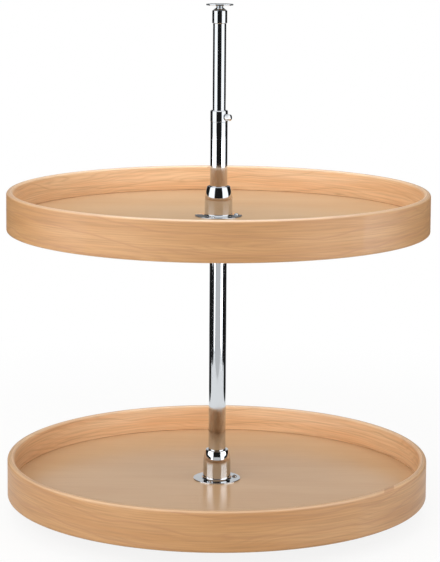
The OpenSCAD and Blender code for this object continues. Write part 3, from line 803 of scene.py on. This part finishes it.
def studio_white(finish, near_lift):
    """A matt white table that looks pure white and still takes the object's shadow."""
    tree, material = new_material("studio_table")
    seen = seen_or_mirrored(tree)
    # The lift to white grows to the full 1 from 0.5 m to 1.3 m away from the pole, past the shadow.
    place = add_node(tree, "ShaderNodeTexCoord").outputs["Object"]
    reach = add_node(tree, "ShaderNodeVectorMath", {0: place}, operation="LENGTH")
    lift = add_node(tree, "ShaderNodeMapRange", {
        "Value": reach.outputs["Value"], "From Min": TABLE_NEAR, "From Max": TABLE_FAR,
        "To Min": near_lift, "To Max": 1.0}, interpolation_type="SMOOTHSTEP")
    share = add_node(tree, "ShaderNodeMath", {0: seen, 1: lift.outputs[0]}, operation="MULTIPLY")
    cover = add_node(tree, "ShaderNodeMix", {0: seen, 6: finish.table_bounce, 7: finish.table},
                     data_type="RGBA")
    matt = add_node(tree, "ShaderNodeBsdfDiffuse", {"Color": cover.outputs[2]})
    white = add_node(tree, "ShaderNodeEmission", {"Color": WHITE, "Strength": 1.0})
    mixed = add_node(tree, "ShaderNodeMixShader", {
        0: share.outputs[0], 1: matt.outputs[0], 2: white.outputs[0]})
    add_node(tree, "ShaderNodeOutputMaterial", {"Surface": mixed.outputs[0]})
    return material


class TURNTABLE_OT_stage(bpy.types.Operator):
    """Sets the camera, the white table and room, the softboxes and the dark and grey screens"""
    bl_idname = "turntable.stage"
    bl_label = "Studio"

    def execute(self, context):
        studio, finish = context.scene.turntable_studio, context.scene.turntable_finish
        data = bpy.data.cameras.new("studio_camera")
        data.lens, data.sensor_width, data.clip_end = studio.lens, SENSOR_WIDTH, CAMERA_CLIP
        data.shift_x, data.shift_y = studio.shift_x, studio.shift_y
        camera = bpy.data.objects.new("studio_camera", data)
        context.scene.collection.objects.link(camera)
        camera.matrix_world = (Matrix.Translation((0, -studio.camera_distance, studio.camera_height))
                               @ Matrix.Rotation(math.pi / 2 - studio.pitch, 4, "X")
                               @ Matrix.Rotation(studio.roll, 4, "Z"))
        context.scene.camera = camera

        flat_panel("studio_table", TABLE_SIZE, TABLE_SIZE, studio_white(finish, studio.table_glow))

        # A softbox on each side, from 36 to 90 degrees. Bright metal hardly shows the lamps, and mirrors two
        # panels in their place, one above the other.
        head, ring, mirror_only = studio.screen_height, studio.ring, []
        width = 2 * ring * math.tan(math.radians(SIDE_REACH))
        for side in (-1, 1):
            for foot, top, strength in ((0.0, studio.mirror_split, studio.low_mirror),
                                        (studio.mirror_split, head, studio.high_mirror)):
                panel = flat_panel("side_mirror", width, top - foot, glow("side_mirror", strength))
                stand_on_ring(panel, side * SIDE_AZIMUTH, ring, (foot + top) / 2)
                mirror_only.append(panel)
            share = 1.0 - side * studio.side_balance
            for lamp in softbox("side_softbox", width, head, share * studio.side_light,
                                share * studio.side_sheen):
                stand_on_ring(lamp, side * SIDE_AZIMUTH, ring, head / 2)

        # Dark screens in front and on both sides of the back, a grey strip under the front one, a grey
        # screen behind that is darker above, and dark strips in front of the softboxes' outer parts:
        # azimuth, reach, foot, head, distance and card of each.
        dark, card = glow("dark_screen", DARK_SCREEN), glow("grey_screen", studio.back_grey)
        shade, strip = glow("shade_screen", studio.back_shade), glow("grey_strip", studio.front_grey)
        for azimuth, reach, foot, top, distance, material in (
                (0, 35, studio.screen_lift, head, ring, dark),
                (120, 29, 0.0, head, 0.62 * ring, dark),
                (0, 38, 0.0, studio.screen_lift, 0.8 * ring, strip),
                (-120, 29, 0.0, head, 0.62 * ring, dark),
                (180, 30, 0.0, studio.back_split, ring, card),
                (180, 30, studio.back_split, head, ring, shade),
                (-76, 25, 0.0, studio.skirt, 0.9 * ring, dark),
                (84, 21, 0.0, studio.skirt, 0.9 * ring, dark)):
            width = 2 * distance * math.tan(math.radians(reach))
            screen = flat_panel(material.name, width, top - foot, material)
            stand_on_ring(screen, azimuth, distance, (foot + top) / 2)
            mirror_only.append(screen)
        for panel in mirror_only:
            panel.visible_camera = panel.visible_diffuse = panel.visible_shadow = False
            panel.visible_transmission = panel.visible_volume_scatter = False

        for lamp in softbox("front_softbox", *FRONT_BOX_SIZE, studio.front_light, 0.0):
            stand_on_ring(lamp, FRONT_BOX_AZIMUTH, FRONT_BOX_DISTANCE, FRONT_BOX_HEIGHT)
            lamp.rotation_euler.x = math.radians(FRONT_BOX_TILT)
        for lamp in softbox("top_softbox", *TOP_BOX_SIZE, studio.top_light, studio.top_sheen):
            lamp.location = TOP_BOX_PLACE

        world = bpy.data.worlds.new("white_room")
        context.scene.world = world
        world.use_nodes = True
        tree = world.node_tree
        tree.nodes.clear()
        seen = seen_or_mirrored(tree)
        fill = add_node(tree, "ShaderNodeBackground", {"Color": WHITE, "Strength": studio.fill})
        white = add_node(tree, "ShaderNodeBackground", {"Color": WHITE, "Strength": 1.0})
        mixed = add_node(tree, "ShaderNodeMixShader", {0: seen, 1: fill.outputs[0], 2: white.outputs[0]})
        add_node(tree, "ShaderNodeOutputWorld", {"Surface": mixed.outputs[0]})

        context.scene.view_settings.view_transform = "Standard"
        return {"FINISHED"}


OPERATORS = (TURNTABLE_OT_stage, TURNTABLE_OT_rims, TURNTABLE_OT_floors, TURNTABLE_OT_hubs,
             TURNTABLE_OT_pole, TURNTABLE_OT_head, TURNTABLE_OT_fittings)
SETTINGS = {"turntable_trays": TraySettings, "turntable_hubs": HubSettings, "turntable_pole": PoleSettings,
            "turntable_finish": FinishSettings, "turntable_studio": StudioSettings}


class TURNTABLE_PT_panel(bpy.types.Panel):
    """Lists the turntable's builders and their settings"""
    bl_idname = "TURNTABLE_PT_panel"
    bl_label = "Corner Turntable"
    bl_space_type = "VIEW_3D"
    bl_region_type = "UI"
    bl_category = "Turntable"

    def draw(self, context):
        for operator in OPERATORS:
            self.layout.operator(operator.bl_idname)
        for name in SETTINGS:
            group = getattr(context.scene, name)
            box = self.layout.box()
            for key in group.bl_rna.properties.keys():
                if key not in {"rna_type", "name"}:
                    box.prop(group, key)


def register():
    for cls in (*SETTINGS.values(), *OPERATORS, TURNTABLE_PT_panel):
        bpy.utils.register_class(cls)
    for name, cls in SETTINGS.items():
        setattr(bpy.types.Scene, name, PointerProperty(type=cls))


def unregister():
    for name in SETTINGS:
        delattr(bpy.types.Scene, name)
    for cls in reversed((*SETTINGS.values(), *OPERATORS, TURNTABLE_PT_panel)):
        bpy.utils.unregister_class(cls)


def main():
    register()
    bpy.ops.turntable.stage()
    bpy.ops.turntable.rims()
    bpy.ops.turntable.floors()
    bpy.ops.turntable.hubs()
    bpy.ops.turntable.pole()
    bpy.ops.turntable.head()
    bpy.ops.turntable.fittings()


if __name__ == "__main__":
    main()
